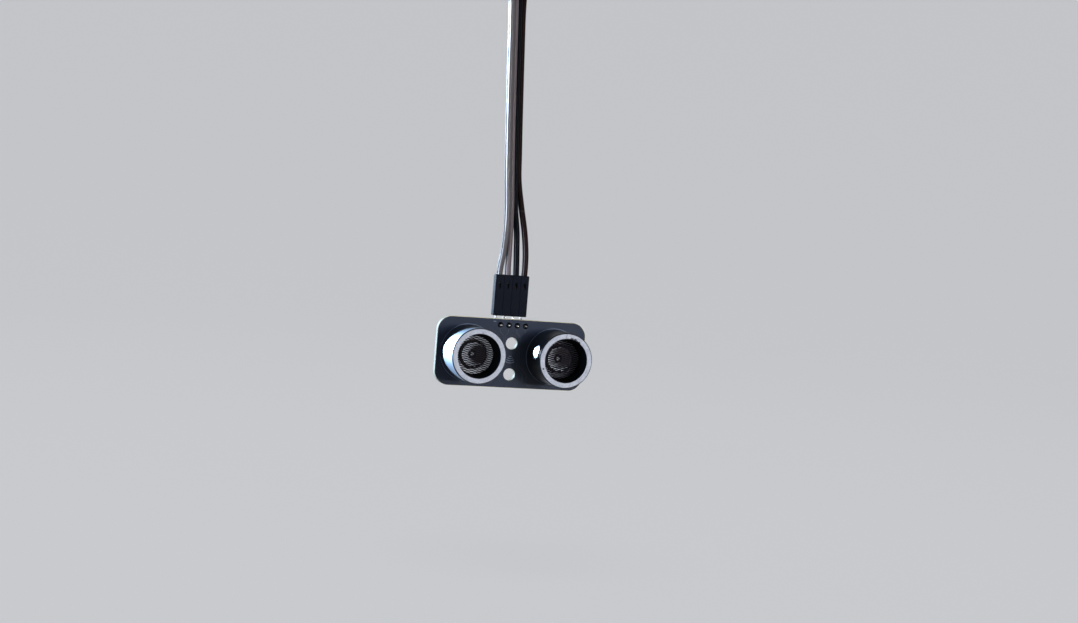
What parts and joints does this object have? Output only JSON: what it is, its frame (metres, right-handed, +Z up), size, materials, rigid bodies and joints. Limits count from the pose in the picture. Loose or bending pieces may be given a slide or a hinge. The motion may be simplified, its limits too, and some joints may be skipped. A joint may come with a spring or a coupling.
{
  "type": "ultrasonic distance sensor",
  "caption": "Ultrasonic ranging module: a transmitter and a receiver in round black cases on a small circuit board, on a four-way crimp jumper lead that pulls off its header pins.",
  "frame": {"origin": "middle of the circuit board's back face, between its two screw holes", "axes": "+X along the board's long side, to the right seen from the front; +Y out of the board's back, so the transducers look along -Y; +Z up, towards the header and the lead"},
  "size_m": [0.045, 0.0206, 0.1315],
  "materials": {
    "solder_mask": "blue-black satin solder mask on glass-epoxy laminate, cream bare edges",
    "black_plastic": "satin moulded black nylon",
    "tinned_metal": "bright tin plate",
    "solder": "bright solder",
    "case_metal": "glossy black anodised, with a bare machined front rim",
    "mesh_metal": "fine woven wire cloth",
    "bare_aluminium": "spun aluminium",
    "brass_plate": "thin rolled brass",
    "piezo_ceramic": "fired, silvered ceramic",
    "silicone": "soft white silicone",
    "chip_plastic": "matt black moulding compound, tinned leads",
    "crystal_can": "plated metal lid",
    "capacitor_ceramic": "tan ceramic with tinned ends",
    "resistor_body": "black glaze with tinned ends",
    "brown_insulation": "glossy brown-grey insulation",
    "grey_insulation": "satin taupe insulation",
    "black_insulation": "glossy black insulation",
    "red_brown_insulation": "glossy dark red-brown insulation"
  },
  "bodies": {
    "module": {"circuit_board": "solder_mask", "header_block": "black_plastic", "header_pin_1": "tinned_metal", "header_pin_2": "tinned_metal", "header_pin_3": "tinned_metal", "header_pin_4": "tinned_metal", "header_solder_1": "solder", "header_solder_2": "solder", "header_solder_3": "solder", "header_solder_4": "solder", "transmitter_case": "case_metal", "transmitter_mesh": "mesh_metal", "transmitter_cone": "bare_aluminium", "transmitter_plate": "brass_plate", "transmitter_piezo": "piezo_ceramic", "transmitter_seal": "silicone", "transmitter_base": "black_plastic", "transmitter_lead_1": "tinned_metal", "transmitter_lead_2": "tinned_metal", "transmitter_solder_1": "solder", "transmitter_solder_2": "solder", "receiver_case": "case_metal", "receiver_mesh": "mesh_metal", "receiver_cone": "bare_aluminium", "receiver_plate": "brass_plate", "receiver_piezo": "piezo_ceramic", "receiver_seal": "silicone", "receiver_base": "black_plastic", "receiver_lead_1": "tinned_metal", "receiver_lead_2": "tinned_metal", "receiver_solder_1": "solder", "receiver_solder_2": "solder", "control_chip": "chip_plastic", "amplifier_chip": "chip_plastic", "driver_chip": "chip_plastic", "crystal": "crystal_can", "capacitor_1": "capacitor_ceramic", "capacitor_2": "capacitor_ceramic", "capacitor_3": "capacitor_ceramic", "capacitor_4": "capacitor_ceramic", "resistor_1": "resistor_body", "resistor_2": "resistor_body", "resistor_3": "resistor_body", "resistor_4": "resistor_body", "resistor_5": "resistor_body"},
    "plug": {"plug_housing": "black_plastic", "plug_contact_1": "tinned_metal", "plug_contact_2": "tinned_metal", "plug_contact_3": "tinned_metal", "plug_contact_4": "tinned_metal", "wire_1": "brown_insulation", "wire_2": "grey_insulation", "wire_3": "black_insulation", "wire_4": "red_brown_insulation", "far_housing": "black_plastic", "far_contact_1": "tinned_metal", "far_contact_2": "tinned_metal", "far_contact_3": "tinned_metal", "far_contact_4": "tinned_metal"}
  },
  "joints": [
    {"name": "plug_slide", "type": "slide", "parent": "module", "child": "plug", "axis": [0, 0, 1], "range_m": [-0.0009, 0.006]}
  ]
}
